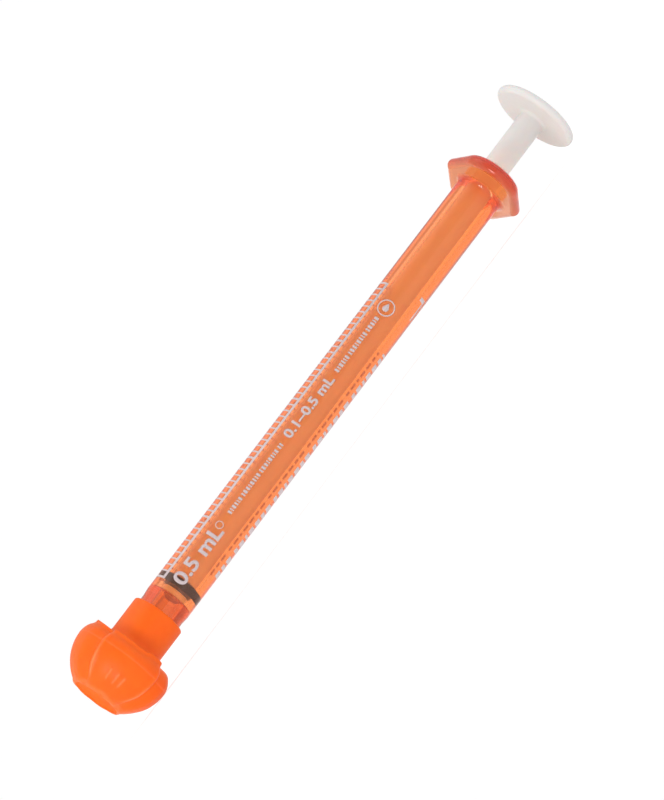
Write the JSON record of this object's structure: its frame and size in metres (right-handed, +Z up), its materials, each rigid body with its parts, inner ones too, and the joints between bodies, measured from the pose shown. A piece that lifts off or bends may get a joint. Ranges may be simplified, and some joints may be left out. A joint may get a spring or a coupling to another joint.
{
  "type": "oral syringe",
  "caption": "Small see-through oral syringe with a finger flange, a sliding plunger with a thumb disc and a push-on fluted tip cap.",
  "frame": {"origin": "under the middle of the overall length, on the surface that the syringe lies on, level with the cap head's lowest side", "axes": "+X along the syringe's axis from the cap's nose to the thumb disc, Y along the finger flange's wings, +Z up"},
  "size_m": [0.0894, 0.0166, 0.0122],
  "materials": {
    "orange_clear_plastic": "moulded, clear orange tint, glossy",
    "white_plastic": "moulded, smooth, slightly satin",
    "black_rubber": "smooth, lightly oiled",
    "orange_cap_plastic": "soft moulded, opaque, satin"
  },
  "bodies": {
    "barrel": {"barrel": "orange_clear_plastic"},
    "seal_ring": {"seal_ring": "black_rubber"},
    "plunger": {"plunger_rod": "white_plastic"},
    "tip_cap": {"tip_cap": "orange_cap_plastic"}
  },
  "joints": [
    {"name": "plunger_slide", "type": "slide", "parent": "barrel", "child": "seal_ring", "axis": [1, 0, 0], "range_m": [0, 0.054]},
    {"name": "plunger_turn", "type": "hinge", "parent": "seal_ring", "child": "plunger", "pos_m": [0, 0, 0.0061], "axis": [1, 0, 0], "continuous": true},
    {"name": "cap_pull", "type": "slide", "parent": "barrel", "child": "tip_cap", "axis": [-1, 0, 0], "range_m": [0, 0.016]}
  ]
}
